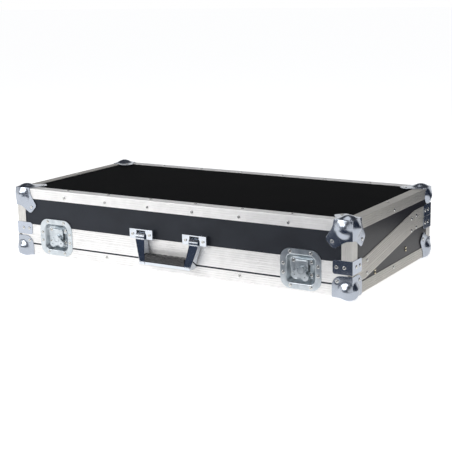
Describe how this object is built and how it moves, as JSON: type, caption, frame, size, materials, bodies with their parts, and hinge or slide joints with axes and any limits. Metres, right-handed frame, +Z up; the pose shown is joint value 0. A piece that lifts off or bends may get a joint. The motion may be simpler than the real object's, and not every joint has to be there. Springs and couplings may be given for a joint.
{
  "type": "flight case",
  "caption": "Low flight case with a slanted parting line, metal edges, ball corners, recessed butterfly latches and a drop handle; the lid opens on rear hinges.",
  "frame": {"origin": "middle of the whole box's underside, on the plane the lower ball corners stand on", "axes": "+X along the width to the right as seen from the latch side, +Y from the latches to the hinges, +Z up"},
  "size_m": [1.096, 0.565, 0.217],
  "materials": {
    "laminate_board": "birch plywood faced with black laminate",
    "edge_aluminium": "extruded, satin anodised",
    "corner_chrome": "pressed steel, bright chrome",
    "rivet_aluminium": "bright blind rivets",
    "lining_foam": "charcoal foam sheet",
    "latch_zinc": "zinc plated",
    "handle_chrome": "bright chrome",
    "grip_rubber": "moulded, black",
    "fixing_steel": "bright zinc plated",
    "hinge_zinc": "zinc plated",
    "bolt_brass": "yellow passivated",
    "bracket_black": "black powder coat"
  },
  "bodies": {
    "base": {"base_bottom_board": "laminate_board", "base_front_board": "laminate_board", "base_rear_board": "laminate_board", "base_left_board": "laminate_board", "base_right_board": "laminate_board", "base_wide_angles": "edge_aluminium", "base_deep_angles": "edge_aluminium", "base_posts": "edge_aluminium", "base_seam_front": "edge_aluminium", "base_seam_rear": "edge_aluminium", "base_seam_left": "edge_aluminium", "base_seam_right": "edge_aluminium", "base_corners_front": "corner_chrome", "base_corners_rear": "corner_chrome", "base_braces": "corner_chrome", "base_rivets": "rivet_aluminium", "base_foam": "lining_foam", "latch_left_base_dish": "latch_zinc", "latch_right_base_dish": "latch_zinc", "latch_plates": "latch_zinc", "hinge_base_leaves": "hinge_zinc", "hinge_pins": "fixing_steel", "side_bolts": "bolt_brass", "side_nuts": "fixing_steel", "support_brackets": "bracket_black"},
    "lid": {"lid_top_board": "laminate_board", "lid_front_board": "laminate_board", "lid_rear_board": "laminate_board", "lid_left_board": "laminate_board", "lid_right_board": "laminate_board", "lid_wide_angles": "edge_aluminium", "lid_deep_angles": "edge_aluminium", "lid_posts": "edge_aluminium", "lid_seam_front": "edge_aluminium", "lid_seam_rear": "edge_aluminium", "lid_seam_left": "edge_aluminium", "lid_seam_right": "edge_aluminium", "lid_corners_front": "corner_chrome", "lid_corners_rear": "corner_chrome", "lid_braces": "corner_chrome", "lid_rivets": "rivet_aluminium", "lid_foam": "lining_foam", "latch_left_lid_dish": "latch_zinc", "latch_right_lid_dish": "latch_zinc", "latch_strikes": "latch_zinc", "handle_brackets": "handle_chrome", "handle_screws": "fixing_steel", "handle_pins": "fixing_steel", "hinge_lid_leaves": "hinge_zinc"},
    "handle": {"handle_bail": "handle_chrome", "handle_grip": "grip_rubber"},
    "latch_left_boss": {"latch_left_boss": "latch_zinc", "latch_left_wing_pin": "latch_zinc"},
    "latch_left_wing": {"latch_left_wing": "latch_zinc"},
    "latch_left_hook": {"latch_left_hook": "latch_zinc"},
    "latch_right_boss": {"latch_right_boss": "latch_zinc", "latch_right_wing_pin": "latch_zinc"},
    "latch_right_wing": {"latch_right_wing": "latch_zinc"},
    "latch_right_hook": {"latch_right_hook": "latch_zinc"}
  },
  "joints": [
    {"name": "lid_hinge", "type": "hinge", "parent": "base", "child": "lid", "pos_m": [0, 0.2761, 0.1274], "axis": [-1, 0, 0], "range_deg": [0, 100]},
    {"name": "handle_swing", "type": "hinge", "parent": "lid", "child": "handle", "pos_m": [0, -0.26, 0.11285], "axis": [-1, 0, 0], "range_deg": [0, 90]},
    {"name": "latch_left_turn", "type": "hinge", "parent": "base", "child": "latch_left_boss", "pos_m": [-0.395, -0.2515, 0.0669], "axis": [0, -1, 0], "range_deg": [0, 180]},
    {"name": "latch_left_flip", "type": "hinge", "parent": "latch_left_boss", "child": "latch_left_wing", "pos_m": [-0.395, -0.2493, 0.0669], "axis": [-0.9976, 0, -0.0698], "range_deg": [0, 90]},
    {"name": "latch_left_lift", "type": "slide", "parent": "base", "child": "latch_left_hook", "axis": [0, 0, 1], "range_m": [0, 0.005]},
    {"name": "latch_right_turn", "type": "hinge", "parent": "base", "child": "latch_right_boss", "pos_m": [0.395, -0.2515, 0.0669], "axis": [0, -1, 0], "range_deg": [0, 180]},
    {"name": "latch_right_flip", "type": "hinge", "parent": "latch_right_boss", "child": "latch_right_wing", "pos_m": [0.395, -0.2493, 0.0669], "axis": [-0.9877, 0, 0.1564], "range_deg": [0, 90]},
    {"name": "latch_right_lift", "type": "slide", "parent": "base", "child": "latch_right_hook", "axis": [0, 0, 1], "range_m": [0, 0.005]}
  ],
  "couplings": [
    {"joint": "latch_left_lift", "follows": "latch_left_turn", "m_per_rad": 0.0015915},
    {"joint": "latch_right_lift", "follows": "latch_right_turn", "m_per_rad": 0.0015915}
  ]
}
